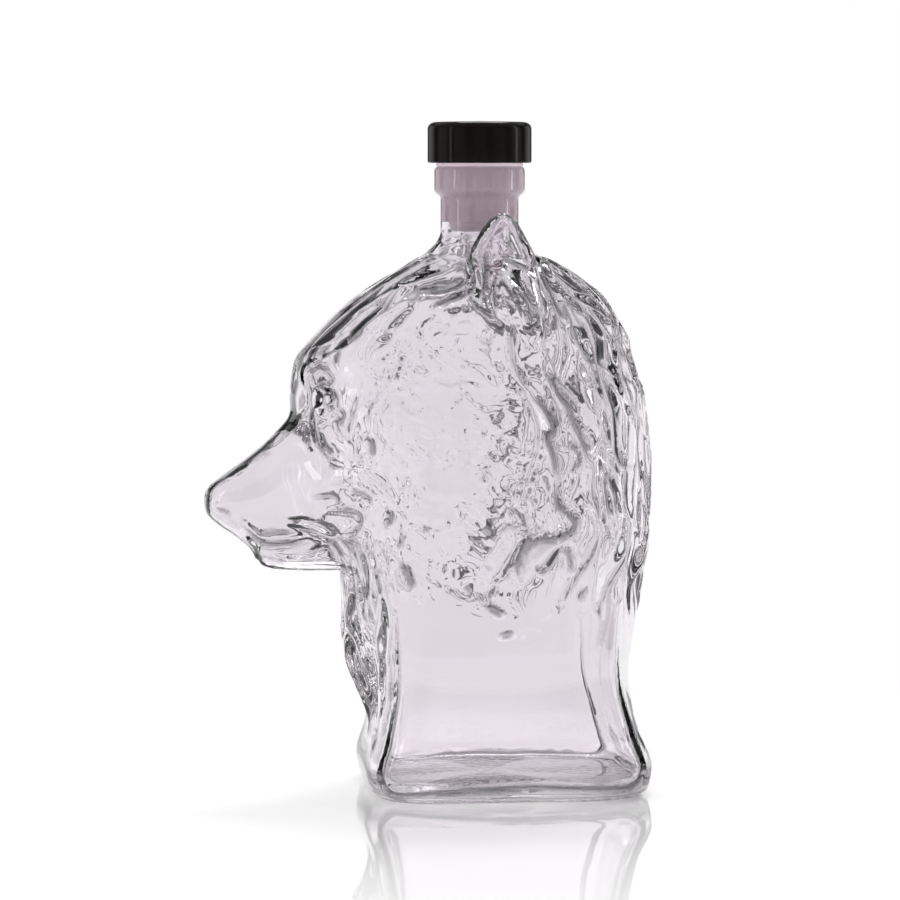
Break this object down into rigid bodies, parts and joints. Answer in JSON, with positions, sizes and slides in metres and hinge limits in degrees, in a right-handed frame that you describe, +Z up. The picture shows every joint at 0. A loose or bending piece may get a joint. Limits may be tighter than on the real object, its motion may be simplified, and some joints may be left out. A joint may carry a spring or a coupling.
{
  "type": "decanter",
  "caption": "Clear moulded glass decanter shaped as a wolf's head on a waisted square foot, closed by a friction stopper with a gloss black cap",
  "frame": {"origin": "on the axis of the neck, in the plane that the decanter stands on", "axes": "+Z is up along the neck's axis; the wolf faces -Y, so +X is the wolf's left side and the YZ plane is its plane of symmetry"},
  "size_m": [0.0956, 0.1337, 0.2006],
  "materials": {
    "clear_glass": "fire-polished, clear",
    "black_cap": "gloss black",
    "insert_plastic": "moulded, hidden",
    "plug_polymer": "satin, slightly translucent"
  },
  "bodies": {
    "bottle": {"glass_bottle": "clear_glass"},
    "stopper": {"cap_shell": "black_cap", "cap_insert": "insert_plastic", "stopper_plug": "plug_polymer"}
  },
  "joints": [
    {"name": "stopper_pull", "type": "slide", "parent": "bottle", "child": "stopper", "axis": [0, 0, 1], "range_m": [0, 0.04]}
  ]
}
